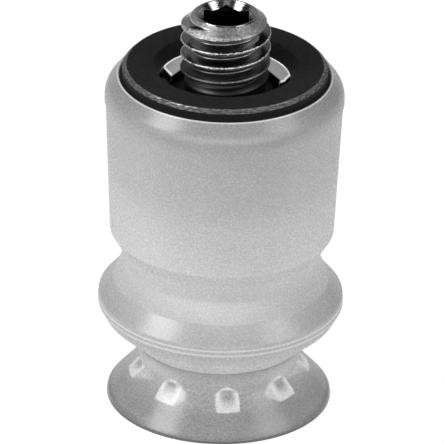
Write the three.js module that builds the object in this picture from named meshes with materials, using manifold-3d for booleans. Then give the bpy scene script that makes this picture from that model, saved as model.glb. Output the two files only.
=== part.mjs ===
// A round bellows vacuum suction cup, nominal 10 mm: a silicone cup with one and a half folds,
// a black support ring let into its head, and a hollow M4 stud with a hex flange.
// Millimetres, +Z up. The origin is the centre of the lip's sealing edge, on the surface it stands on.

import * as THREE from 'three';
import { mergeVertices } from 'three/addons/utils/BufferGeometryUtils.js';
import Module from 'manifold-3d';

const wasm = await Module();
wasm.setup();

// Driving dimensions: heights above the sealing edge, and radii.
const LIP_RADIUS = 5.0;
const LIP_EDGE_WIDTH = 0.2;
const CREST_RADIUS = 5.45;
const CREST_BOTTOM = 4.68;
const CREST_TOP = 4.9;
const NECK_RADIUS = 3.55;
const NECK_BORE = 3.15;
const GROOVE_RADIUS = 4.34;
const HEAD_BOTTOM = 8.33;
const HEAD_BOTTOM_RADIUS = 4.97;
const HEAD_RADIUS = 5.28;
const SHOULDER_HEIGHT = 15.12;
const SHOULDER_FILLET = 0.5;
const RIM_TOP = 15.82;
const RIM_RADIUS = 4.67;
const RIM_WIDTH = 0.05;
const CHAMBER_RADIUS = 3.62;
const CHAMBER_TOP = 10.7;
const CHAMBER_BEVEL = 0.3;

// Where the silicone is divided, because it bends there: the height of each cut.
const CUT_LIP = 1.76;
const CUT_NECK = 2.4;
const CUT_LOWER_WALL = 2.92;
const CUT_CREST = 4.56;
const CUT_UPPER_WALL = 5.17;
const CUT_HEAD = 8.0;
const CUT_GAP = 0.02;

const CLEAT_COUNT = 8;
const CLEAT_FIRST_ANGLE = 6.8;
const CLEAT_WIDTH = 1.03;
const CLEAT_BOTTOM = 0.93;
const CLEAT_TOP = 1.95;
const CLEAT_ARCH_HEIGHT = 0.75;
const CLEAT_INNER_RADIUS = 2.98;
const CLEAT_GAP = 0.05;

const RING_TOP = 16.29;
const RING_RADIUS = 4.53;
const RING_FOOT_RADIUS = 4.62;
const RING_CHAMFER = 0.17;
const RING_THICKNESS = 0.65;
const RING_HOLE_TOP = 3.155;
const RING_HOLE_BOTTOM = 2.89;
const RING_FOOT_HEIGHT = 0.1;
const RING_SEAT_GAP = 0.03;

const STUD_TOP = 18.81;
const THREAD_RADIUS = 1.98;
const THREAD_ROOT = 1.56;
const THREAD_PITCH = 0.7;
const THREAD_CREST_HEIGHT = 17.22;
const THREAD_END_RADIUS = 1.38;
const HEX_FLANGE_TOP = 15.2;
const HEX_FLANGE_BOTTOM = 13.9;
const HEX_FLANGE_FLATS = 4.75;
const UNDERCUT_RADIUS = 1.78;
const UNDERCUT_HEIGHT = 0.3;
const RUN_OUT_HEIGHT = 0.5;
const SHANK_RADIUS = 2.0;
const BARB_TOP = 12.55;
const BARB_BOTTOM = 11.9;
const BARB_RADIUS = 2.9;
const BARB_LEAD = 0.35;
const TAIL_RADIUS = 1.5;
const TAIL_BOTTOM = 11.0;
const SOCKET_FLATS = 2.0;
const SOCKET_DEPTH = 2.2;
const SOCKET_TURN = Math.PI / 6;
const END_FACE_WIDTH = 0.05;
const BORE_RADIUS = 0.8;
const STUD_CLEARANCE = 0.04;
const CUT_OVERRUN = 0.1;

const ROUND_STEPS = 40;
const THREAD_STEPS = 24;
const THREAD_ROWS_PER_TURN = 8;
const ARC_STEP = Math.PI / 6;

const silicone = { color: 0xd9d9d6, roughness: 0.45, metalness: 0 };
const clearSilicone = { color: 0xececea, roughness: 0.35, metalness: 0 };
const blackAnodised = { color: 0x1c1c1d, roughness: 0.55, metalness: 0.2 };
const platedSteel = { color: 0x9a9a98, roughness: 0.28, metalness: 1 };

// Geometry to solid and back.
function solidFrom(geometry) {
  const bare = geometry.index ? geometry.toNonIndexed() : geometry;
  bare.deleteAttribute('normal');
  bare.deleteAttribute('uv');
  const welded = mergeVertices(bare, 1e-5);
  const triVerts = Uint32Array.from(welded.index.array);
  const vertProperties = Float32Array.from(welded.attributes.position.array);
  return new wasm.Manifold(new wasm.Mesh({ numProp: 3, vertProperties, triVerts }));
}

function geometryFrom(solid) {
  const mesh = solid.getMesh();
  const geometry = new THREE.BufferGeometry();
  geometry.setAttribute('position', new THREE.BufferAttribute(mesh.vertProperties, 3));
  geometry.setIndex(new THREE.BufferAttribute(mesh.triVerts, 1));
  geometry.computeVertexNormals();
  return geometry;
}

// The lathe geometry of a closed outline of [radius, height] points, about +Z.
function latheAbout(outline, steps) {
  const points = outline.map(([radius, height]) => new THREE.Vector2(radius, height));
  points.push(points[0].clone());
  const lathe = new THREE.LatheGeometry(points, steps);
  lathe.rotateX(Math.PI / 2);
  return lathe;
}

function turned(outline) {
  return solidFrom(latheAbout(outline, ROUND_STEPS));
}

// Two of the prism's corners lie on the X axis, unless it is turned.
function hexPrism(acrossFlats, bottom, top, turn = 0) {
  const cornerRadius = acrossFlats / Math.sqrt(3);
  const outline = new THREE.Shape();
  for (let corner = 0; corner < 6; corner += 1) {
    const angle = corner * Math.PI / 3 + turn;
    const point = [cornerRadius * Math.cos(angle), cornerRadius * Math.sin(angle)];
    if (corner === 0) outline.moveTo(...point);
    else outline.lineTo(...point);
  }
  const prism = new THREE.ExtrudeGeometry(outline, { depth: top - bottom, bevelEnabled: false });
  prism.translate(0, 0, bottom);
  return solidFrom(prism);
}

// A line of [radius, height, fillet] corners, with each fillet drawn as an arc.
function filleted(corners) {
  const line = [];
  corners.forEach(([radius, height, fillet], index) => {
    const here = new THREE.Vector2(radius, height);
    if (!fillet) {
      line.push([radius, height]);
      return;
    }
    const before = new THREE.Vector2(...corners[index - 1]).sub(here).normalize();
    const after = new THREE.Vector2(...corners[index + 1]).sub(here).normalize();
    const halfAngle = Math.acos(before.dot(after)) / 2;
    const middle = before.clone().add(after).normalize();
    const centre = here.clone().addScaledVector(middle, fillet / Math.sin(halfAngle));
    const start = here.clone().addScaledVector(before, fillet / Math.tan(halfAngle)).sub(centre);
    const sweep = Math.PI - 2 * halfAngle;
    const turn = Math.sign(before.cross(after)) * -sweep;
    const steps = Math.max(1, Math.round(sweep / ARC_STEP));
    for (let step = 0; step <= steps; step += 1) {
      const point = start.clone().rotateAround(new THREE.Vector2(), turn * step / steps).add(centre);
      line.push([point.x, point.y]);
    }
  });
  return line;
}

// The cup's outer face, from the sealing edge up to the rim round the support ring.
const outerFace = filleted([
  [LIP_RADIUS, 0],
  [LIP_RADIUS - 0.02, 0.16, 0.1],
  [NECK_RADIUS, 1.78, 0.3],
  [NECK_RADIUS + 0.22, 2.88, 0.6],
  [CREST_RADIUS - 0.31, 4.1, 0.5],
  [CREST_RADIUS, CREST_BOTTOM],
  [CREST_RADIUS, CREST_TOP],
  [CREST_RADIUS - 0.02, 5.1, 0.15],
  [CREST_RADIUS - 0.67, 5.84, 0.3],
  [GROOVE_RADIUS, 6.85, 0.6],
  [GROOVE_RADIUS + 0.19, 7.62, 0.4],
  [HEAD_BOTTOM_RADIUS, HEAD_BOTTOM, 0.2],
  [HEAD_RADIUS - 0.06, 14.3],
  [HEAD_RADIUS, 14.6],
  [HEAD_RADIUS, SHOULDER_HEIGHT, SHOULDER_FILLET],
  [RIM_RADIUS + RIM_WIDTH, RIM_TOP],
]);

// The cup's inner face, from the sealing edge up into the chamber of the head.
const innerFace = filleted([
  [LIP_RADIUS - LIP_EDGE_WIDTH, 0],
  [NECK_BORE, 1.55, 0.2],
  [NECK_BORE, 3.0, 0.4],
  [CREST_RADIUS - 0.72, 4.5, 0.25],
  [CREST_RADIUS - 0.72, 5.0, 0.25],
  [CHAMBER_RADIUS + 0.08, 6.5, 0.6],
  [CHAMBER_RADIUS, 7.2, 0.6],
  [CHAMBER_RADIUS, CHAMBER_TOP - CHAMBER_BEVEL],
]);

function radiusAt(face, height) {
  const above = face.findIndex(([, faceHeight]) => faceHeight >= height);
  if (above <= 0) return face[0][0];
  const [highRadius, high] = face[above];
  const [lowRadius, low] = face[above - 1];
  return THREE.MathUtils.mapLinear(height, low, high, lowRadius, highRadius);
}

// The stretch of a face between two heights, with a point on each of them.
function stretch(face, bottom, top) {
  const inside = face.filter(([, height]) => height > bottom + CUT_GAP && height < top - CUT_GAP);
  return [[radiusAt(face, bottom), bottom], ...inside, [radiusAt(face, top), top]];
}

// One turned zone of the cup's wall.
function wallZone(bottom, top) {
  return turned([...stretch(outerFace, bottom, top), ...stretch(innerFace, bottom, top).reverse()]);
}

// The head, with the ring's seat in its top and a stepped hole that grips the stud.
function cupHead() {
  const wall = stretch(outerFace, CUT_HEAD, RIM_TOP);
  const seat = RING_TOP - RING_THICKNESS - RING_SEAT_GAP;
  const wellBottom = HEX_FLANGE_BOTTOM - STUD_CLEARANCE;
  const inside = [
    [RIM_RADIUS, RIM_TOP],
    [RIM_RADIUS, seat],
    [RING_HOLE_BOTTOM + STUD_CLEARANCE, seat],
    [HEX_FLANGE_FLATS / 2 + 2 * STUD_CLEARANCE, HEX_FLANGE_TOP],
    [SHANK_RADIUS + STUD_CLEARANCE, HEX_FLANGE_TOP],
    [SHANK_RADIUS + STUD_CLEARANCE, BARB_TOP + STUD_CLEARANCE],
    [BARB_RADIUS + STUD_CLEARANCE, BARB_TOP + STUD_CLEARANCE],
    [BARB_RADIUS + STUD_CLEARANCE, BARB_BOTTOM - STUD_CLEARANCE],
    [TAIL_RADIUS + STUD_CLEARANCE, BARB_BOTTOM - STUD_CLEARANCE],
    [TAIL_RADIUS + STUD_CLEARANCE, CHAMBER_TOP],
    [CHAMBER_RADIUS - CHAMBER_BEVEL, CHAMBER_TOP],
    [CHAMBER_RADIUS, CHAMBER_TOP - CHAMBER_BEVEL],
    [CHAMBER_RADIUS, CUT_HEAD],
  ];
  const hexWell = hexPrism(HEX_FLANGE_FLATS + 2 * STUD_CLEARANCE, wellBottom, RING_TOP);
  return turned([...wall, ...inside]).subtract(hexWell);
}

// A wedge under the lip, flat below and arched above, that stops thin sheet from being drawn in.
function cleat() {
  const springing = CLEAT_TOP - CLEAT_ARCH_HEIGHT;
  const arch = new THREE.Shape();
  arch.moveTo(-CLEAT_WIDTH / 2, CLEAT_BOTTOM);
  arch.lineTo(CLEAT_WIDTH / 2, CLEAT_BOTTOM);
  arch.lineTo(CLEAT_WIDTH / 2, springing);
  arch.absellipse(0, springing, CLEAT_WIDTH / 2, CLEAT_ARCH_HEIGHT, 0, Math.PI);
  arch.closePath();
  const block = new THREE.ExtrudeGeometry(arch, { depth: LIP_RADIUS, bevelEnabled: false, curveSegments: 8 });
  block.rotateX(Math.PI / 2);
  const underLip = innerFace
    .filter(([, height]) => height > CLEAT_BOTTOM && height < CLEAT_TOP)
    .map(([radius, height]) => [radius - CLEAT_GAP, height]);
  const below = CLEAT_BOTTOM - CUT_OVERRUN;
  const above = CLEAT_TOP + CUT_OVERRUN;
  const section = turned([
    [CLEAT_INNER_RADIUS, below],
    [radiusAt(innerFace, below) - CLEAT_GAP, below],
    ...underLip,
    [NECK_BORE - CLEAT_GAP, above],
    [CLEAT_INNER_RADIUS, above],
  ]);
  return solidFrom(block).intersect(section);
}

function supportRing() {
  const bottom = RING_TOP - RING_THICKNESS;
  return turned([
    [RING_FOOT_RADIUS, bottom],
    [RING_FOOT_RADIUS, RIM_TOP],
    [RING_RADIUS, RIM_TOP + RING_SEAT_GAP],
    [RING_RADIUS, RING_TOP - RING_CHAMFER],
    [RING_RADIUS - RING_CHAMFER, RING_TOP],
    [RING_HOLE_TOP, RING_TOP],
    [RING_HOLE_BOTTOM, bottom + RING_FOOT_HEIGHT],
    [RING_HOLE_BOTTOM, bottom],
  ]);
}

// The radius of the right-hand thread at an angle and height, with its run-out and end chamfer.
function threadRadiusAt(angle, height) {
  const turns = (height - THREAD_CREST_HEIGHT) / THREAD_PITCH - angle / (2 * Math.PI);
  const fromCrest = Math.abs(turns - Math.round(turns));
  const flank = THREE.MathUtils.clamp((fromCrest - 1 / 16) / (5 / 16), 0, 1);
  const runOutBottom = HEX_FLANGE_TOP + UNDERCUT_HEIGHT;
  const runOut = THREE.MathUtils.smoothstep(height, runOutBottom, runOutBottom + RUN_OUT_HEIGHT);
  const crest = THREE.MathUtils.lerp(UNDERCUT_RADIUS, THREAD_RADIUS, runOut);
  const root = THREE.MathUtils.lerp(UNDERCUT_RADIUS, THREAD_ROOT, runOut);
  const cut = THREE.MathUtils.lerp(crest, root, flank);
  return Math.min(cut, THREAD_END_RADIUS + STUD_TOP - height);
}

// The threaded length: a finely divided ring whose outer wall is moved onto the thread.
function threadedShank() {
  const bottom = HEX_FLANGE_TOP - CUT_OVERRUN;
  const rows = Math.round((STUD_TOP - bottom) / THREAD_PITCH * THREAD_ROWS_PER_TURN);
  const outline = [[BORE_RADIUS, bottom]];
  for (let row = 0; row <= rows; row += 1) {
    outline.push([THREAD_RADIUS, THREE.MathUtils.lerp(bottom, STUD_TOP, row / rows)]);
  }
  outline.push([BORE_RADIUS, STUD_TOP]);
  const lathe = latheAbout(outline, THREAD_STEPS);
  const position = lathe.attributes.position;
  for (let index = 0; index < position.count; index += 1) {
    const [x, y, height] = [position.getX(index), position.getY(index), position.getZ(index)];
    if (Math.hypot(x, y) < THREAD_ROOT) continue;
    const angle = Math.atan2(y, x);
    const radius = threadRadiusAt(angle, height);
    position.setXY(index, radius * Math.cos(angle), radius * Math.sin(angle));
  }
  return solidFrom(lathe);
}

// A round cutter, straight or tapered.
function roundCutter(bottomRadius, topRadius, bottom, top) {
  const cutter = new THREE.CylinderGeometry(topRadius, bottomRadius, top - bottom, THREAD_STEPS);
  cutter.rotateX(Math.PI / 2);
  cutter.translate(0, 0, (bottom + top) / 2);
  return solidFrom(cutter);
}

function threadedStud() {
  const tail = turned([
    [BORE_RADIUS, TAIL_BOTTOM],
    [TAIL_RADIUS, TAIL_BOTTOM],
    [TAIL_RADIUS, BARB_BOTTOM],
    [BARB_RADIUS - BARB_LEAD, BARB_BOTTOM],
    [BARB_RADIUS, BARB_TOP - BARB_LEAD],
    [BARB_RADIUS, BARB_TOP],
    [SHANK_RADIUS, BARB_TOP],
    [SHANK_RADIUS, HEX_FLANGE_BOTTOM + CUT_OVERRUN],
    [BORE_RADIUS, HEX_FLANGE_BOTTOM + CUT_OVERRUN],
  ]);
  const mouth = THREAD_END_RADIUS - END_FACE_WIDTH;
  const above = STUD_TOP + CUT_OVERRUN;
  const socketBottom = STUD_TOP - SOCKET_DEPTH;
  return tail
    .add(hexPrism(HEX_FLANGE_FLATS, HEX_FLANGE_BOTTOM, HEX_FLANGE_TOP))
    .add(threadedShank())
    .subtract(roundCutter(BORE_RADIUS, BORE_RADIUS, HEX_FLANGE_BOTTOM - CUT_OVERRUN, above))
    .subtract(hexPrism(SOCKET_FLATS, socketBottom, above, SOCKET_TURN))
    .subtract(roundCutter(BORE_RADIUS, mouth + CUT_OVERRUN, STUD_TOP - mouth + BORE_RADIUS, above));
}

const suctionCup = new THREE.Group();

function addPiece(name, solid, look, turn = 0) {
  const mesh = new THREE.Mesh(geometryFrom(solid), new THREE.MeshStandardMaterial(look));
  mesh.name = name;
  mesh.rotation.z = turn;
  suctionCup.add(mesh);
}

addPiece('threaded_stud', threadedStud(), platedSteel);
addPiece('support_ring', supportRing(), blackAnodised);
addPiece('cup_head', cupHead(), silicone);
addPiece('bellows_upper_wall', wallZone(CUT_UPPER_WALL, CUT_HEAD - CUT_GAP), silicone);
addPiece('crest_ring', wallZone(CUT_CREST, CUT_UPPER_WALL - CUT_GAP), silicone);
addPiece('bellows_lower_wall', wallZone(CUT_LOWER_WALL, CUT_CREST - CUT_GAP), silicone);
addPiece('neck_ring', wallZone(CUT_NECK, CUT_LOWER_WALL - CUT_GAP), silicone);
addPiece('neck_flexure', wallZone(CUT_LIP, CUT_NECK - CUT_GAP), silicone);
addPiece('lip_skirt', wallZone(0, CUT_LIP - CUT_GAP), silicone);
for (let index = 0; index < CLEAT_COUNT; index += 1) {
  const angle = THREE.MathUtils.degToRad(CLEAT_FIRST_ANGLE + index * 360 / CLEAT_COUNT);
  addPiece(`lip_cleat_${index + 1}`, cleat(), clearSilicone, angle);
}

export default suctionCup;
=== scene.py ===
"""The looks of the bellows suction cup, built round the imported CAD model.

Lengths are in millimetres until a mesh is made, and heights are above the lip's sealing edge.
"""

import math

import bmesh
import bpy
import numpy as np
from mathutils import Matrix, Vector


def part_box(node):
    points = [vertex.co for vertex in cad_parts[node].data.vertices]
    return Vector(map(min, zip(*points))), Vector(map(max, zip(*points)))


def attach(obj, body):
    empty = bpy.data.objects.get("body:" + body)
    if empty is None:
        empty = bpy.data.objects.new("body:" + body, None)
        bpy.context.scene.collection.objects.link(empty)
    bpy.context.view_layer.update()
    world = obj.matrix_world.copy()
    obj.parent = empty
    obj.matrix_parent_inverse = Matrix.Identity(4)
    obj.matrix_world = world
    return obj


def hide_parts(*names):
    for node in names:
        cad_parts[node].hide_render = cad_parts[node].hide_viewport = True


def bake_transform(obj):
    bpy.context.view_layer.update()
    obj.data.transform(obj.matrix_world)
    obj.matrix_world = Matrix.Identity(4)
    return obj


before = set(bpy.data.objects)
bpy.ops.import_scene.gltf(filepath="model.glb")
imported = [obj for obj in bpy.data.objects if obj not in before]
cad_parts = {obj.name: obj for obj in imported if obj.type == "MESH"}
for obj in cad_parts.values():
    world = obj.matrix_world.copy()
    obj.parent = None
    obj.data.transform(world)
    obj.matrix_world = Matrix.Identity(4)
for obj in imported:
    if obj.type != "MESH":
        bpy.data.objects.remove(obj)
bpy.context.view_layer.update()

MM = 0.001


def lowest(node):
    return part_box(node)[0] / MM


def highest(node):
    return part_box(node)[1] / MM


# The frame's own dimensions.
LIP_RADIUS = highest("lip_skirt").x
CREST_RADIUS = highest("crest_ring").x
HEAD_RADIUS = highest("cup_head").x
RIM_TOP = highest("cup_head").z
RING_TOP = highest("support_ring").z
RING_BOTTOM = lowest("support_ring").z
RING_FOOT_RADIUS = highest("support_ring").x
STUD_TOP = highest("threaded_stud").z
STUD_BOTTOM = lowest("threaded_stud").z
BARB_RADIUS = highest("threaded_stud").x
CUT_LOWER_WALL = highest("neck_ring").z
CLEAT_BOTTOM = lowest("lip_cleat_1").z
CLEAT_TOP = highest("lip_cleat_1").z

# The moulding's other dimensions.
LIP_EDGE_WIDTH = 0.2
NECK_RADIUS = 3.55
NECK_BORE = 3.15
GROOVE_RADIUS = 4.34
HEAD_BOTTOM = 8.33
HEAD_BOTTOM_RADIUS = 4.97
SHOULDER_HEIGHT = 15.15
SHOULDER_FILLET = 0.9
RIM_RADIUS = 4.67
RIM_WIDTH = 0.05
CREST_BOTTOM = 4.68
CREST_TOP = 4.9
CREST_PARTING = 4.79
CREST_FILLET = 0.03
CHAMBER_RADIUS = 3.62
CHAMBER_TOP = 10.7
CHAMBER_BEVEL = 0.3

RING_RADIUS = 4.53
RING_CHAMFER = 0.17
RING_HOLE_TOP = 3.155
RING_HOLE_BOTTOM = 2.89
RING_SEAT_GAP = 0.03

THREAD_RADIUS = 1.98
THREAD_ROOT = 1.56
THREAD_PITCH = 0.7
THREAD_ROWS_PER_TURN = 36
CREST_HALF_FLAT = 1 / 16
FLANK_LENGTH = 5 / 16
THREAD_CREST_HEIGHT = 17.22
THREAD_END_RADIUS = 1.38
END_CHAMFER_SLOPE = 1.25
UNDERCUT_RADIUS = 1.78
UNDERCUT_HEIGHT = 0.3
RUN_OUT_HEIGHT = 0.5
HEX_FLANGE_TOP = 15.2
HEX_FLANGE_BOTTOM = 13.9
HEX_FLANGE_FLATS = 4.75
HEX_FLANGE_CORNER_SLOPE = 0.6
SHANK_RADIUS = 2.0
BARB_TOP = 12.55
BARB_BOTTOM = 11.9
BARB_LEAD = 0.35
TAIL_RADIUS = 1.5
SOCKET_FLATS = 2.0
SOCKET_DEPTH = 2.2
SOCKET_TURN = math.pi / 6
END_FACE_WIDTH = 0.09
BORE_RADIUS = 0.8
STUD_CLEARANCE = 0.04

CLEAT_COUNT = 8
CLEAT_FIRST_ANGLE = math.radians(6.8)
CLEAT_WIDTH = 1.03
CLEAT_ARCH_HEIGHT = 0.75
CLEAT_INNER_RADIUS = 2.98

# The silicone under the ring shows inside its hole, except in a recess at the front.
SEAT_HEIGHT = RING_BOTTOM - RING_SEAT_GAP
SEAT_INSIDE = RING_HOLE_BOTTOM + 0.04
SEAT_TURN = math.radians(5.6)
SEAT_TAPER = math.radians(16)
SEAT_STEP = math.radians(1.5)
SEAT_OUTLINE = 0.07
SEAT_FLATS = 4.3
RECESS_DEPTH = 0.35

# The silicone's greys as (height, sRGB grey) stops, holding painted light and shade: the body is lighter
# where light passes through the hollow fold, and darker round the stud and on the shoulder. The mottling is
# finer than its clouds.
BODY_GREYS_AND_PAINTED_SHADING = [
    (0, 220), (3.6, 240), (4.4, 195), (5.3, 191), (6.2, 208), (8, 232),
    (10.5, 224), (11.7, 210), (14.4, 203), (15.1, 182), (15.8, 172),
]
# Painted shade in the lip: a dark lower edge, and a painted shadow under the fold at the top of the neck.
LIP_GREYS_AND_PAINTED_SHADING = [
    (0, 80), (0.1, 120), (0.17, 210), (0.26, 198), (0.9, 214),
    (1.5, 240), (2.3, 248), (2.6, 232), (2.9, 205),
]
CLEAT_SHADES = [(0, 215), (2, 215)]
# Painted shade: silicone deep in the ring's hole is darkened to this, for the flange's shade and the dark
# steel under it.
BURIED_SHADE = 0.04

# A constant glow that stands for light passing through the silicone.
FOLD_MIDDLE = 5.1
FOLD_GLOW = 0.04
EDGE_GLOW = 0.4
SEAT_GLOW = 0.22
CLEAT_GLOW = 0.6
TONGUE_GLOW = 0.03
# Painted shade: a cleat's colour is darkened by this down its tongue.
TONGUE_SHADE = 0.33

# Painted shade darkens the steel towards the thread's foot, and a painted highlight brightens its mouth.
FOOT_SHADE_TOP = 17.1
FOOT_SHADE_HEIGHT = 1.0
MOUTH_BOTTOM = 18.25
MOUTH_FULLY_BRIGHT = 18.4
MOUTH_PAINTED_HIGHLIGHT = 2.1

# The stage. Distances are in metres and angles in degrees.
CAMERA_DISTANCE = 0.355
CAMERA_ELEVATION = 27.7
CAMERA_ROLL = 1.2
CAMERA_TARGET = 8.49 * MM
FIELD_WIDTH = 0.01968
SENSOR_WIDTH = 36
FLOOR_HALF_WIDTH = 1.5
LIGHT_DISTANCE = 0.4
SKY = [(0.0, 0.5), (0.45, 0.5), (0.55, 0.03), (1.0, 0.01)]

# How finely the meshes are made.
ROUND_STEPS = 240
ARC_STEP = math.radians(7)
LONG_STEP = 0.16
FINE_STEP = 0.03
SHARP_ANGLE = math.radians(32)


# ---------------------------------------------------------------- outlines


def filleted(corners):
    """A line of (radius, height[, fillet]) corners, with each fillet drawn as an arc."""
    line = []
    for index, corner in enumerate(corners):
        here = Vector(corner[:2])
        if len(corner) == 2:
            line.append(tuple(here))
            continue
        fillet = corner[2]
        before = (Vector(corners[index - 1][:2]) - here).normalized()
        after = (Vector(corners[index + 1][:2]) - here).normalized()
        half = before.angle(after) / 2
        centre = here + (before + after).normalized() * fillet / math.sin(half)
        start = here + before * fillet / math.tan(half) - centre
        sweep = math.pi - 2 * half
        turn = math.copysign(sweep, -(before.x * after.y - before.y * after.x))
        steps = max(2, round(sweep / ARC_STEP))
        for step in range(steps + 1):
            line.append(tuple(centre + Matrix.Rotation(turn * step / steps, 2) @ start))
    return line


def finely(line, fine_heights=(), longest=LONG_STEP):
    """The same line with no stretch longer than the step, which is finer near the heights given."""
    points = [line[0]]
    for before, after in zip(line, line[1:]):
        middle = (before[1] + after[1]) / 2
        near = any(abs(middle - height) < 0.25 for height in fine_heights)
        pieces = max(1, math.ceil(math.dist(before, after) / (FINE_STEP if near else longest)))
        for piece in range(1, pieces + 1):
            t = piece / pieces
            radius = before[0] + (after[0] - before[0]) * t
            height = before[1] + (after[1] - before[1]) * t
            points.append((radius, height))
    return points


def clipped(line, bottom, top):
    """The stretch of a rising line between two heights."""
    heights = [height for _, height in line]
    radii = [radius for radius, _ in line]
    inside = [point for point in line if bottom + 0.005 < point[1] < top - 0.005]
    low = (float(np.interp(bottom, heights, radii)), bottom)
    high = (float(np.interp(top, heights, radii)), top)
    return [low, *inside, high]


OUTER_FACE = filleted([
    (LIP_RADIUS, 0),
    (LIP_RADIUS - 0.02, 0.16, 0.1),
    (NECK_RADIUS, 1.78, 0.3),
    (NECK_RADIUS + 0.22, 2.88, 0.6),
    (CREST_RADIUS - 0.31, 4.1, 0.5),
    (CREST_RADIUS, CREST_BOTTOM, CREST_FILLET),
    (CREST_RADIUS, CREST_TOP, CREST_FILLET),
    (CREST_RADIUS - 0.02, 5.1, 0.15),
    (CREST_RADIUS - 0.67, 5.84, 0.3),
    (GROOVE_RADIUS, 6.85, 0.6),
    (GROOVE_RADIUS + 0.19, 7.62, 0.4),
    (HEAD_BOTTOM_RADIUS, HEAD_BOTTOM, 0.2),
    (HEAD_RADIUS - 0.06, 14.3),
    (HEAD_RADIUS, 14.6),
    (HEAD_RADIUS, SHOULDER_HEIGHT, SHOULDER_FILLET),
    (RIM_RADIUS + RIM_WIDTH + 0.03, RIM_TOP - 0.03, 0.02),
    (RIM_RADIUS + RIM_WIDTH, RIM_TOP),
])

INNER_FACE = filleted([
    (LIP_RADIUS - LIP_EDGE_WIDTH, 0),
    (NECK_BORE, 1.55, 0.2),
    (NECK_BORE, 3.0, 0.4),
    (CREST_RADIUS - 0.72, 4.5, 0.25),
    (CREST_RADIUS - 0.72, 5.0, 0.25),
    (CHAMBER_RADIUS + 0.08, 6.5, 0.6),
    (CHAMBER_RADIUS, 7.2, 0.6),
    (CHAMBER_RADIUS, CHAMBER_TOP - CHAMBER_BEVEL),
])


def inner_radius(height):
    return float(np.interp(height, [z for _, z in INNER_FACE], [r for r, _ in INNER_FACE]))


# ---------------------------------------------------------------- meshes


def hex_radius(flats, angle):
    """The radius, at an angle, of a hexagon that has two corners on the X axis."""
    from_middle_of_side = angle % (math.pi / 3) - math.pi / 6
    return flats / 2 / math.cos(from_middle_of_side)


def no_marks(angle, radius, height):
    return (0, 0, 0)


def ring_mesh(name, profile_at, marks_at=no_marks):
    """A closed ring whose outline of (radius, height) points may change with the angle.

    marks_at gives three numbers for each point. They stay with the mesh as it bends, for its material.
    """
    vertices, marks = [], []
    for step in range(ROUND_STEPS):
        angle = 2 * math.pi * step / ROUND_STEPS
        for radius, height in profile_at(angle):
            vertices.append((radius * math.cos(angle) * MM, radius * math.sin(angle) * MM, height * MM))
            marks.append(marks_at(angle, radius, height))
    count = len(vertices) // ROUND_STEPS
    faces = []
    for step in range(ROUND_STEPS):
        here, there = step * count, (step + 1) % ROUND_STEPS * count
        for point in range(count):
            following = (point + 1) % count
            faces.append((here + point, there + point, there + following, here + following))
    return finished_mesh(name, vertices, faces, marks)


def turned(name, outline, marks_at=no_marks):
    return ring_mesh(name, lambda angle: outline, marks_at)


def finished_mesh(name, vertices, faces, marks):
    """A smooth object of one closed mesh, with its faces pointing out and its hard edges kept hard."""
    mesh = bpy.data.meshes.new(name)
    mesh.from_pydata(vertices, [], faces)
    for attribute, values in (("rest", vertices), ("marks", marks)):
        kept = mesh.attributes.new(attribute, "FLOAT_VECTOR", "POINT")
        kept.data.foreach_set("vector", np.array(values, np.float32).ravel())
    shape = bmesh.new()
    shape.from_mesh(mesh)
    bmesh.ops.remove_doubles(shape, verts=shape.verts, dist=1e-8)
    bmesh.ops.recalc_face_normals(shape, faces=shape.faces)
    shape.to_mesh(mesh)
    shape.free()
    mesh.shade_smooth()
    mesh.set_sharp_from_angle(angle=SHARP_ANGLE)
    piece = bpy.data.objects.new(name, mesh)
    bpy.context.scene.collection.objects.link(piece)
    return piece


# ---------------------------------------------------------------- materials


class Nodes:
    """A small helper for building a node tree."""

    def __init__(self, tree):
        self.tree = tree

    def make(self, kind, **settings):
        node = self.tree.nodes.new(kind)
        for key, value in settings.items():
            setattr(node, key, value)
        return node

    def link(self, source, target):
        self.tree.links.new(source, target)

    def give(self, socket, value):
        """Sets a socket to a number, or links it to another node's output."""
        if isinstance(value, (int, float)):
            socket.default_value = value
        else:
            self.link(value, socket)

    def ranged(self, factor, low, high, start=0.0, end=1.0):
        """A number that goes from low to high as the factor goes from start to end."""
        node = self.make("ShaderNodeMapRange")
        node.inputs["From Min"].default_value = start
        node.inputs["From Max"].default_value = end
        node.inputs["To Min"].default_value = low
        node.inputs["To Max"].default_value = high
        self.link(factor, node.inputs["Value"])
        return node.outputs["Result"]

    def math(self, operation, first, second=0.0):
        node = self.make("ShaderNodeMath", operation=operation)
        self.give(node.inputs[0], first)
        self.give(node.inputs[1], second)
        return node.outputs["Value"]

    def between(self, low, high, factor):
        """A number between low and high, by a factor of 0 to 1."""
        return self.math("ADD", low, self.math("MULTIPLY", self.math("SUBTRACT", high, low), factor))

    def steps(self, factor, stops):
        """A number that follows (place, value) stops."""
        node = self.make("ShaderNodeValToRGB")
        ramp = node.color_ramp
        while len(ramp.elements) < len(stops):
            ramp.elements.new(1.0)
        for element, (place, _) in zip(ramp.elements, stops):
            element.position = place
        for element, (_, value) in zip(ramp.elements, stops):
            element.color = (value, value, value, 1)
        self.link(factor, node.inputs["Fac"])
        return node.outputs["Color"]


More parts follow.
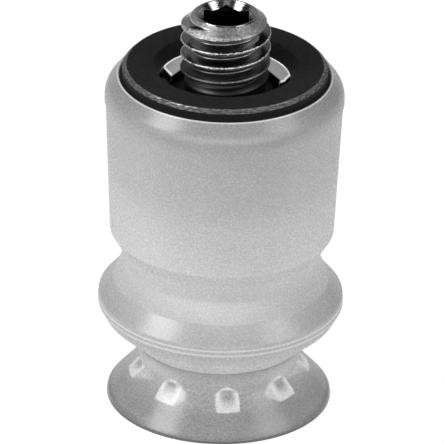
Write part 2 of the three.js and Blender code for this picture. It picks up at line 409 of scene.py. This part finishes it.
class Material(Nodes):
    """A material on the Principled shader, with textures held to the resting shape of the mesh."""

    def __init__(self, name, **values):
        self.material = bpy.data.materials.new(name)
        self.material.use_nodes = True
        super().__init__(self.material.node_tree)
        self.shader = self.tree.nodes["Principled BSDF"]
        for key, value in values.items():
            self.shader.inputs[key.replace("_", " ")].default_value = value
        self.rest = self.make("ShaderNodeAttribute", attribute_name="rest").outputs["Vector"]
        marks = self.make("ShaderNodeAttribute", attribute_name="marks").outputs["Vector"]
        self.marks = self.make("ShaderNodeSeparateXYZ")
        self.link(marks, self.marks.inputs["Vector"])

    def height(self):
        """The resting height in millimetres."""
        parts = self.make("ShaderNodeSeparateXYZ")
        self.link(self.rest, parts.inputs["Vector"])
        return self.math("DIVIDE", parts.outputs["Z"], MM)

    def noise(self, size, detail=3.0):
        """Noise whose blotches are about that size in millimetres."""
        texture = self.make("ShaderNodeTexNoise")
        texture.inputs["Scale"].default_value = 1 / (size * MM)
        texture.inputs["Detail"].default_value = detail
        self.link(self.rest, texture.inputs["Vector"])
        return texture.outputs["Fac"]

    def streaks(self, length, width, detail=3.0):
        """Noise drawn out round the axis, in streaks of about that length and width in millimetres."""
        parts = self.make("ShaderNodeSeparateXYZ")
        self.link(self.rest, parts.inputs["Vector"])
        x, y, z = parts.outputs
        out = self.math("SQRT", self.math("ADD", self.math("MULTIPLY", x, x), self.math("MULTIPLY", y, y)))
        along = self.math("MULTIPLY", self.math("ARCTAN2", x, y), out)
        place = self.make("ShaderNodeCombineXYZ")
        self.link(self.math("DIVIDE", along, length * MM), place.inputs["X"])
        self.link(self.math("DIVIDE", out, width * MM), place.inputs["Y"])
        self.link(self.math("DIVIDE", z, width * MM), place.inputs["Z"])
        texture = self.make("ShaderNodeTexNoise")
        texture.inputs["Scale"].default_value = 1.0
        texture.inputs["Detail"].default_value = detail
        self.link(place.outputs["Vector"], texture.inputs["Vector"])
        return texture.outputs["Fac"]

    def colour(self, value):
        self.link(value, self.shader.inputs["Base Color"])

    def roughness(self, value):
        self.link(value, self.shader.inputs["Roughness"])

    def bump(self, height, depth):
        """Bump of that depth in millimetres where the height goes from 0 to 1."""
        node = self.make("ShaderNodeBump")
        node.inputs["Distance"].default_value = depth * MM
        self.link(height, node.inputs["Height"])
        self.link(node.outputs["Normal"], self.shader.inputs["Normal"])


def grey(value):
    """The linear brightness of an sRGB grey of 0 to 255."""
    part = value / 255
    return part / 12.92 if part <= 0.04045 else ((part + 0.055) / 1.055) ** 2.4


MODEL_HEIGHT = 20.0
PAINTED_HIGHLIGHT_GREY = grey(250)
MOTTLE_SIZE = 0.08
MOTTLE_AMOUNT = 0.24


def silicone(name, shades, roughness, mottling=MOTTLE_AMOUNT):
    """Milky silicone: its grey follows the height, with painted light and shade in it, a fine mottling and
    painted highlights on thin edges.
    """
    look = Material(
        name,
        Subsurface_Weight=0.25,
        Subsurface_Radius=(1.0, 1.0, 1.0),
        Subsurface_Scale=0.25 * MM,
        Specular_IOR_Level=1.0,
        Emission_Color=(1, 1, 1, 1),
        IOR=1.45,
    )
    stops = [(height / MODEL_HEIGHT, grey(shade)) for height, shade in shades]
    shade = look.steps(look.math("DIVIDE", look.height(), MODEL_HEIGHT), stops)
    mottle = look.noise(MOTTLE_SIZE, 2)
    cloud = look.noise(1.8, 2)
    low, high = 1 - mottling / 2, 1 + mottling / 2
    shade = look.math("MULTIPLY", shade, look.ranged(mottle, low, high, 0.3, 0.7))
    shade = look.math("MULTIPLY", shade, look.ranged(cloud, 0.97, 1.03, 0.3, 0.7))
    look.roughness(look.ranged(mottle, roughness - 0.05, roughness + 0.07, 0.3, 0.7))
    look.bump(mottle, 0.0015)
    # Painted highlight: the first mark blends the grey towards near white.
    return look, look.between(shade, PAINTED_HIGHLIGHT_GREY, look.marks.outputs["X"])


def body_silicone():
    """The thick silicone, with painted shade where it hides the stud and deep in the ring's hole. A painted
    glow stands for light coming through the fold and thin edges.
    """
    look, shade = silicone("milky_silicone", BODY_GREYS_AND_PAINTED_SHADING, 0.25)
    in_hole, glowing_edge = look.marks.outputs["Y"], look.marks.outputs["Z"]
    deep = look.ranged(look.height(), 1, 0, SEAT_HEIGHT - 0.1, SEAT_HEIGHT - 0.03)
    buried = look.math("MULTIPLY", in_hole, deep)
    shown = look.math("SUBTRACT", 1.0, buried)
    # Painted shade: deep in the ring's hole the grey is darkened.
    look.colour(look.math("MULTIPLY", shade, look.ranged(shown, BURIED_SHADE, 1)))
    from_fold = look.math("ABSOLUTE", look.math("SUBTRACT", look.height(), FOLD_MIDDLE))
    through_fold = look.ranged(from_fold, FOLD_GLOW, 0, 0.3, 1.8)
    through_edge = look.math("MULTIPLY", look.math("MULTIPLY", glowing_edge, shown), EDGE_GLOW)
    through_seat = look.math("MULTIPLY", look.math("MULTIPLY", in_hole, shown), SEAT_GLOW)
    through = look.math("ADD", look.math("ADD", through_fold, through_edge), through_seat)
    look.link(through, look.shader.inputs["Emission Strength"])
    return look.material


def lip_silicone():
    """The thin lip: glossy and clear enough for the cleats inside it to show."""
    look, shade = silicone("thin_silicone", LIP_GREYS_AND_PAINTED_SHADING, 0.2, 0.5)
    look.colour(shade)
    look.shader.inputs["Subsurface Weight"].default_value = 0
    look.shader.inputs["Transmission Weight"].default_value = 0.6
    return look.material


def cleat_silicone():
    """A cleat glows with painted light carried to its edges, and is painted darker, with less glow, in the
    tongue down its middle.
    """
    look, shade = silicone("cleat_silicone", CLEAT_SHADES, 0.3)
    across, height = look.marks.outputs["Y"], look.height()
    above_bottom = look.ranged(height, 0, 1, CLEAT_BOTTOM + 0.1, CLEAT_BOTTOM + 0.45)
    below_top = look.ranged(height, 1, 0, CLEAT_TOP - 0.18, CLEAT_TOP - 0.04)
    tongue = look.math("MULTIPLY", look.ranged(across, 1, 0, 0.16, 0.42), above_bottom)
    tongue = look.math("MULTIPLY", tongue, below_top)
    # Painted shade: the tongue is darker and glows less.
    look.colour(look.math("MULTIPLY", shade, look.ranged(tongue, 1, TONGUE_SHADE)))
    look.link(look.ranged(tongue, CLEAT_GLOW, TONGUE_GLOW), look.shader.inputs["Emission Strength"])
    return look.material


def ring_material():
    """Matt black, with bright rubbing in short streaks along its chamfer and painted shade below the
    chamfer.
    """
    look = Material("black_ring", Specular_IOR_Level=0.25)
    grain = look.noise(0.12, 4)
    rubbing = look.streaks(0.22, 0.035, 6)
    # Wear: bright rubbing streaks along the chamfer.
    wear_and_highlight = look.math("MULTIPLY", look.marks.outputs["X"], look.ranged(rubbing, 0.1, 1.0, 0.45, 0.6))
    below_chamfer = look.marks.outputs["Y"]
    black = look.ranged(grain, grey(26), grey(56), 0.3, 0.7)
    # Painted shade: the side below the chamfer is darkened.
    black = look.math("MULTIPLY", black, look.ranged(below_chamfer, 1, 0.3))
    look.colour(look.between(black, grey(200), wear_and_highlight))
    look.roughness(look.between(look.ranged(grain, 0.5, 0.7, 0.3, 0.7), 0.35, wear_and_highlight))
    look.link(wear_and_highlight, look.shader.inputs["Metallic"])
    look.bump(grain, 0.006)
    return look.material


def steel_material():
    """Plated steel with turning marks, scratched on the chamfer, with painted highlights on the crests and
    in the mouth and painted shade at the foot.
    """
    look = Material("plated_steel", Metallic=1.0)
    turning = look.streaks(1.2, 0.05, 3)
    grain = look.noise(0.12, 4)
    dull, crest_highlight, at_foot = (look.marks.outputs[part] for part in "XYZ")
    # On the crests this mark is a painted highlight, not wear.
    wear_and_highlight = look.math("MULTIPLY", crest_highlight, look.ranged(grain, 0.2, 1, 0.42, 0.55))
    # Painted highlight: the mouth is brightened.
    in_mouth = look.ranged(look.height(), 1, MOUTH_PAINTED_HIGHLIGHT, MOUTH_BOTTOM, MOUTH_FULLY_BRIGHT)
    bright = look.math("MULTIPLY", look.ranged(turning, grey(112), grey(176), 0.3, 0.7), in_mouth)
    scratched = look.ranged(grain, grey(160), grey(240), 0.3, 0.7)
    scratches_and_highlight = look.between(look.between(bright, scratched, dull), grey(245), wear_and_highlight)
    # Painted shade: the foot is darkened.
    look.colour(look.between(scratches_and_highlight, grey(80), at_foot))
    matt = look.ranged(turning, 0.35, 0.55, 0.3, 0.7)
    rough = look.between(0.12, matt, look.math("MAXIMUM", dull, at_foot))
    look.roughness(look.between(rough, 0.6, wear_and_highlight))
    look.bump(look.math("ADD", turning, grain), 0.005)
    return look.material


BODY_SILICONE = body_silicone()
LIP_SILICONE = lip_silicone()
CLEAT_SILICONE = cleat_silicone()
BLACK = ring_material()
STEEL = steel_material()


def dress(piece, material):
    piece.data.materials.clear()
    piece.data.materials.append(material)


# ---------------------------------------------------------------- silicone


def limited(value):
    return min(1.0, max(0.0, value))


def seat_profile(angle):
    """The seat inside the ring's hole, lapping over the stud's hex flange. Its ends taper at the recess."""
    inside = hex_radius(SEAT_FLATS, angle)
    well = hex_radius(HEX_FLANGE_FLATS + 2 * STUD_CLEARANCE, angle)
    turned_angle = angle + SEAT_TURN
    behind = math.atan2(math.sin(turned_angle), abs(math.cos(turned_angle)))
    recess = SEAT_HEIGHT - RECESS_DEPTH * limited((SEAT_TAPER - behind) / SEAT_STEP)
    height = SEAT_HEIGHT - RECESS_DEPTH * limited(1 - behind / SEAT_STEP)
    edge = SEAT_INSIDE - 0.01 - (SEAT_INSIDE - 0.03 - inside) * limited(1 - behind / SEAT_TAPER)
    outline = min(SEAT_OUTLINE, 0.4 * (edge - inside))
    overhang = min(height - 0.01, HEX_FLANGE_TOP + STUD_CLEARANCE)
    return [
        (SEAT_INSIDE, SEAT_HEIGHT),
        (SEAT_INSIDE - 0.005, recess),
        (edge, recess),
        (edge, height - 0.02),
        (edge - outline * 0.2, height),
        (edge - outline, height),
        (edge - outline * 1.2, height),
        (inside + 0.005, height),
        (inside, height - 0.01),
        (inside, overhang),
        (well, overhang - 0.001),
        (well, HEX_FLANGE_BOTTOM - STUD_CLEARANCE),
    ]


def head_profile(angle):
    """The head and the upper fold's wall, from the parting line up and back down inside."""
    outer = finely(clipped(OUTER_FACE, CREST_PARTING, RIM_TOP), (CREST_PARTING, RIM_TOP))
    inside = [
        (RIM_RADIUS + 0.02, RIM_TOP),
        (RIM_RADIUS, RIM_TOP - 0.03),
        (RIM_RADIUS, SEAT_HEIGHT),
        *seat_profile(angle),
        (SHANK_RADIUS + STUD_CLEARANCE, HEX_FLANGE_BOTTOM - STUD_CLEARANCE),
        (SHANK_RADIUS + STUD_CLEARANCE, BARB_TOP + STUD_CLEARANCE),
        (BARB_RADIUS + STUD_CLEARANCE, BARB_TOP + STUD_CLEARANCE),
        (BARB_RADIUS + STUD_CLEARANCE, BARB_BOTTOM - STUD_CLEARANCE),
        (TAIL_RADIUS + STUD_CLEARANCE, BARB_BOTTOM - STUD_CLEARANCE),
        (TAIL_RADIUS + STUD_CLEARANCE, CHAMBER_TOP),
        (CHAMBER_RADIUS - CHAMBER_BEVEL, CHAMBER_TOP),
    ]
    wall = finely(clipped(INNER_FACE, CREST_PARTING, CHAMBER_TOP - CHAMBER_BEVEL))
    return [*outer, *inside, *reversed(wall)]


def pale_edge(height, edge, width):
    """1 on an edge at that height, going down to 0 at that distance from it."""
    return max(0.0, 1 - abs(height - edge) / width)


def body_marks(angle, radius, height):
    """How strong the painted highlight on the silicone is, whether it lies inside the ring's hole, and how
    much its edge glows.
    """
    # The seat's outline: a painted highlight and a glow.
    if SHANK_RADIUS + 0.05 < radius <= SEAT_INSIDE and height > HEX_FLANGE_BOTTOM - 0.1:
        seat_edge = seat_profile(angle)[2][0]
        on_outline = seat_edge - SEAT_OUTLINE - 0.001 < radius <= seat_edge
        glow = float(on_outline and height > SEAT_HEIGHT - 0.05)
        return (glow, 1, glow)
    # The rim round the ring: a painted highlight and a glow.
    if RIM_RADIUS - 0.01 < radius < RIM_RADIUS + RIM_WIDTH + 0.04 and height > RIM_TOP - 0.05:
        return (0.6, 0, 0.3)
    # The crest band's two edges: a painted highlight.
    if radius > CREST_RADIUS - 0.06:
        pale = max(pale_edge(height, CREST_BOTTOM, 0.06), pale_edge(height, CREST_TOP, 0.06))
        return (0.9 * pale, 0, 0)
    return (0, 0, 0)


def make_silicone():
    head = ring_mesh("cup_body_upper", head_profile, body_marks)
    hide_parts("cup_head", "bellows_upper_wall")
    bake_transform(head)
    dress(head, BODY_SILICONE)

    fold_outer = finely(clipped(OUTER_FACE, CUT_LOWER_WALL, CREST_PARTING), (CREST_PARTING,))
    fold_inner = finely(clipped(INNER_FACE, CUT_LOWER_WALL, CREST_PARTING))
    fold = turned("cup_body_lower", [*fold_outer, *reversed(fold_inner)], body_marks)
    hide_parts("crest_ring", "bellows_lower_wall")
    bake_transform(fold)
    dress(fold, BODY_SILICONE)

    lip_outer = finely(clipped(OUTER_FACE, 0, CUT_LOWER_WALL), longest=0.08)
    lip_inner = finely(clipped(INNER_FACE, 0, CUT_LOWER_WALL), longest=0.08)
    lip = turned("neck_and_lip", [*lip_outer, *reversed(lip_inner)])
    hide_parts("neck_ring", "neck_flexure", "lip_skirt")
    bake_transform(lip)
    dress(lip, LIP_SILICONE)


# ---------------------------------------------------------------- cleats


def arch_outline(inset):
    """The cleat's arched outline as (across, height) points, drawn in by an inset all round."""
    half = CLEAT_WIDTH / 2 - inset
    bottom = CLEAT_BOTTOM + inset
    springing = CLEAT_TOP - CLEAT_ARCH_HEIGHT
    rise = CLEAT_ARCH_HEIGHT - inset
    points = [(-half + 2 * half * step / 8, bottom) for step in range(8)]
    points += [(half, bottom + (springing - bottom) * step / 4) for step in range(4)]
    for step in range(17):
        angle = math.pi * step / 16
        points.append((half * math.cos(angle), springing + rise * math.sin(angle)))
    points += [(-half, springing + (bottom - springing) * step / 4) for step in range(1, 4)]
    return points


def cleat_mesh(name, angle):
    """An arched pad moulded on the lip's inner face, with a shallow pocket in its face."""
    rows = [
        (0.5, lambda height: inner_radius(height) + 0.05),
        (0.25, lambda height: inner_radius(height) + 0.05),
        (0.0, lambda height: inner_radius(height) + 0.05),
        (0.0, lambda height: CLEAT_INNER_RADIUS + 0.07),
        (0.02, lambda height: CLEAT_INNER_RADIUS + 0.02),
        (0.07, lambda height: CLEAT_INNER_RADIUS),
        (0.25, lambda height: CLEAT_INNER_RADIUS),
        (0.28, lambda height: CLEAT_INNER_RADIUS + 0.05),
    ]
    outward = Vector((math.cos(angle), math.sin(angle), 0))
    sideways = Vector((-math.sin(angle), math.cos(angle), 0))
    vertices, marks = [], []
    for inset, radius_at in rows:
        for across, height in arch_outline(inset):
            reach = math.sqrt(radius_at(height) ** 2 - across ** 2)
            vertices.append(tuple((outward * reach + sideways * across + Vector((0, 0, height))) * MM))
            marks.append((0, abs(across), 0))
    count = len(vertices) // len(rows)
    faces = [tuple(range(count)), tuple(range(len(vertices) - count, len(vertices)))]
    for row in range(len(rows) - 1):
        for point in range(count):
            here, following = row * count + point, row * count + (point + 1) % count
            faces.append((here, following, following + count, here + count))
    return finished_mesh(name, vertices, faces, marks)


def make_cleats():
    for index in range(CLEAT_COUNT):
        cleat = cleat_mesh(f"grip_cleat_{index + 1}", CLEAT_FIRST_ANGLE + 2 * math.pi * index / CLEAT_COUNT)
        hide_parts(f"lip_cleat_{index + 1}")
        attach(cleat, "lip")
        dress(cleat, CLEAT_SILICONE)


# ---------------------------------------------------------------- support ring


def ring_marks(angle, radius, height):
    """How much wear the ring has, most at its chamfer's upper edge, and where it gets painted shade: below
    the chamfer.
    """
    if radius < RING_RADIUS - RING_CHAMFER - 0.02:
        return (0, 0, 0)
    if height < RING_TOP - RING_CHAMFER + 0.01:
        return (0, 1, 0)
    upper_edge = radius < RING_RADIUS - RING_CHAMFER + 0.05
    return (1.0 if upper_edge else 0.5, 0, 0)


def make_ring():
    outline = filleted([
        (RING_FOOT_RADIUS, RING_BOTTOM),
        (RING_FOOT_RADIUS, RIM_TOP - 0.02),
        (RING_RADIUS, RIM_TOP + 0.04),
        (RING_RADIUS, RING_TOP - RING_CHAMFER, 0.04),
        (RING_RADIUS - RING_CHAMFER, RING_TOP, 0.04),
        (RING_HOLE_TOP, RING_TOP, 0.03),
        (RING_HOLE_BOTTOM, RING_BOTTOM + 0.1),
        (RING_HOLE_BOTTOM, RING_BOTTOM),
    ])
    ring = turned("black_support_ring", finely(outline, (RING_TOP,)), ring_marks)
    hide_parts("support_ring")
    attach(ring, "head")
    dress(ring, BLACK)


# ---------------------------------------------------------------- threaded stud


def soft_limit(value, softness=0.15):
    """0 below 0 and 1 above 1, with both corners rounded."""
    if value > 0.5:
        return 1 - soft_limit(1 - value, softness)
    if value > softness:
        return value
    return max(0.0, value + softness) ** 2 / (4 * softness)


def chamfer_radius(height):
    """The radius of the chamfer round the stud's end."""
    return THREAD_END_RADIUS + END_CHAMFER_SLOPE * (STUD_TOP - height)


def thread_radius(angle, height):
    """The right-hand thread's radius, with its run-out below and chamfer above."""
    turns = (height - THREAD_CREST_HEIGHT) / THREAD_PITCH - angle / (2 * math.pi)
    from_crest = abs(turns - round(turns))
    flank = soft_limit((from_crest - CREST_HALF_FLAT) / FLANK_LENGTH)
    run_out = limited((height - HEX_FLANGE_TOP - UNDERCUT_HEIGHT) / RUN_OUT_HEIGHT)
    crest = UNDERCUT_RADIUS + (THREAD_RADIUS - UNDERCUT_RADIUS) * run_out
    root = UNDERCUT_RADIUS + (THREAD_ROOT - UNDERCUT_RADIUS) * run_out
    return min(crest + (root - crest) * flank, chamfer_radius(height))


def stud_profile(angle):
    """The stud's outline from its tail up over the thread, and down into its socket and bore."""
    flange = hex_radius(HEX_FLANGE_FLATS, angle)
    flange_flat = min(flange, HEX_FLANGE_FLATS / 2 + 0.04)
    socket = hex_radius(SOCKET_FLATS, angle + SOCKET_TURN)
    mouth = THREAD_END_RADIUS - END_FACE_WIDTH
    socket_bottom = STUD_TOP - SOCKET_DEPTH
    below = [
        (BORE_RADIUS, STUD_BOTTOM),
        (TAIL_RADIUS, STUD_BOTTOM),
        (TAIL_RADIUS, BARB_BOTTOM),
        (BARB_RADIUS - BARB_LEAD, BARB_BOTTOM),
        (BARB_RADIUS, BARB_TOP - BARB_LEAD),
        (BARB_RADIUS, BARB_TOP),
        (SHANK_RADIUS, BARB_TOP),
        (SHANK_RADIUS, HEX_FLANGE_BOTTOM),
        (flange, HEX_FLANGE_BOTTOM),
        (flange, HEX_FLANGE_TOP - (flange - flange_flat) * HEX_FLANGE_CORNER_SLOPE),
        (flange_flat, HEX_FLANGE_TOP),
        (UNDERCUT_RADIUS, HEX_FLANGE_TOP),
    ]
    rows = np.arange(HEX_FLANGE_TOP + 0.06, STUD_TOP - 0.01, THREAD_PITCH / THREAD_ROWS_PER_TURN)
    thread = [(thread_radius(angle, height), float(height)) for height in rows]
    above = [
        (THREAD_END_RADIUS, STUD_TOP - 0.02),
        (THREAD_END_RADIUS - 0.02, STUD_TOP),
        (mouth, STUD_TOP),
        (socket, STUD_TOP - (mouth - socket)),
        (socket, socket_bottom),
        (BORE_RADIUS, socket_bottom - 0.1),
    ]
    return [*below, *thread, *above]


def stud_marks(angle, radius, height):
    """How scratched the steel is by its end, where the crests get a painted highlight, and how much painted
    shade darkens the foot.
    """
    on_chamfer = max(THREAD_END_RADIUS + 0.02, chamfer_radius(height) - 0.02) < radius < THREAD_RADIUS
    crest_highlight = radius > THREAD_RADIUS - (0.16 if on_chamfer else 0.03)
    foot = limited((FOOT_SHADE_TOP - height) / FOOT_SHADE_HEIGHT)
    return (float(on_chamfer), float(crest_highlight), foot)


def make_stud():
    stud = ring_mesh("hollow_threaded_stud", stud_profile, stud_marks)
    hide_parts("threaded_stud")
    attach(stud, "head")
    dress(stud, STEEL)


# ---------------------------------------------------------------- stage


def from_front(azimuth, elevation):
    """A direction: azimuth 0 is the camera's side and goes round to its right, in degrees."""
    a, e = math.radians(azimuth), math.radians(elevation)
    return Vector((math.sin(a) * math.cos(e), -math.cos(a) * math.cos(e), math.sin(e)))


def make_camera():
    """A long lens a little above the cup, which leans slightly to the right in the view."""
    back = from_front(0, CAMERA_ELEVATION)
    data = bpy.data.cameras.new("camera")
    data.sensor_width = SENSOR_WIDTH
    data.lens = SENSOR_WIDTH * CAMERA_DISTANCE / FIELD_WIDTH
    data.clip_start = 0.01
    data.clip_end = 20
    camera = bpy.data.objects.new("camera", data)
    camera.rotation_mode = "QUATERNION"
    camera.location = Vector((0, 0, CAMERA_TARGET)) + back * CAMERA_DISTANCE
    roll = Matrix.Rotation(math.radians(CAMERA_ROLL), 3, "Z").to_quaternion()
    camera.rotation_quaternion = (-back).to_track_quat("-Z", "Y") @ roll
    bpy.context.scene.collection.objects.link(camera)
    bpy.context.scene.camera = camera


def make_floor():
    """A plain pale floor. It looks white to the camera, with a painted shadow under the cup, and is dimmer
    where the cup mirrors it.
    """
    half = FLOOR_HALF_WIDTH
    mesh = bpy.data.meshes.new("floor")
    corners = [(-half, -half, 0), (half, -half, 0), (half, half, 0), (-half, half, 0)]
    mesh.from_pydata(corners, [], [(0, 1, 2, 3)])
    floor = bpy.data.objects.new("floor", mesh)
    bpy.context.scene.collection.objects.link(floor)
    white, dim = (1, 1, 1, 1), (0.15, 0.15, 0.15, 1)
    look = Material("pale_floor", Base_Color=dim, Roughness=0.9, Emission_Color=white)
    place = look.make("ShaderNodeTexCoord").outputs["Object"]
    away = look.make("ShaderNodeVectorMath", operation="LENGTH")
    look.link(place, away.inputs[0])
    parts = look.make("ShaderNodeSeparateXYZ")
    look.link(place, parts.inputs["Vector"])
    # Painted shadow: the floor's glow fades under the cup.
    painted_contact_shadow = look.ranged(away.outputs["Value"], 0.1, 1.0, 3.0 * MM, LIP_RADIUS * MM)
    in_front = look.ranged(parts.outputs["Y"], 0.03, 0.55, -25 * MM, -8 * MM)
    seen = look.make("ShaderNodeLightPath").outputs["Is Camera Ray"]
    lit = look.math("MULTIPLY", painted_contact_shadow, look.between(in_front, 0.95, seen))
    look.link(lit, look.shader.inputs["Emission Strength"])
    mesh.materials.append(look.material)


def softbox(name, azimuth, elevation, width, height, power):
    """An area light that faces the cup."""
    back = from_front(azimuth, elevation)
    data = bpy.data.lights.new(name, "AREA")
    data.shape = "RECTANGLE"
    data.size = width
    data.size_y = height
    data.energy = power
    lamp = bpy.data.objects.new(name, data)
    lamp.rotation_mode = "QUATERNION"
    lamp.location = Vector((0, 0, 0.01)) + back * LIGHT_DISTANCE
    lamp.rotation_quaternion = (-back).to_track_quat("-Z", "Y")
    bpy.context.scene.collection.objects.link(lamp)


def make_studio():
    """A studio that is bright all round and dark overhead."""
    world = bpy.data.worlds.new("studio")
    world.use_nodes = True
    bpy.context.scene.world = world
    nodes = Nodes(world.node_tree)
    parts = nodes.make("ShaderNodeSeparateXYZ")
    nodes.link(nodes.make("ShaderNodeTexCoord").outputs["Generated"], parts.inputs["Vector"])
    sky = nodes.steps(parts.outputs["Z"], SKY)
    sky = nodes.math("MULTIPLY", sky, nodes.ranged(parts.outputs["Y"], 3.2, 0.45, -0.8, 0.1))
    nodes.link(sky, world.node_tree.nodes["Background"].inputs["Color"])


def make_lights():
    """Two tall softboxes at the sides, a weak card in front and two weak lights behind."""
    softbox("left_softbox", -69, 42, 0.17, 0.22, 0.6)
    softbox("right_softbox", 69, 42, 0.17, 0.22, 0.27)
    softbox("top_card", 0, 62, 0.12, 0.12, 0.012)
    softbox("rear_left_light", -118, 68, 0.06, 0.06, 0.005)
    softbox("rear_right_light", 116, 64, 0.05, 0.05, 0.006)


make_camera()
make_silicone()
make_cleats()
make_ring()
make_stud()
make_floor()
make_studio()
make_lights()
bpy.context.scene.view_settings.view_transform = "Standard"
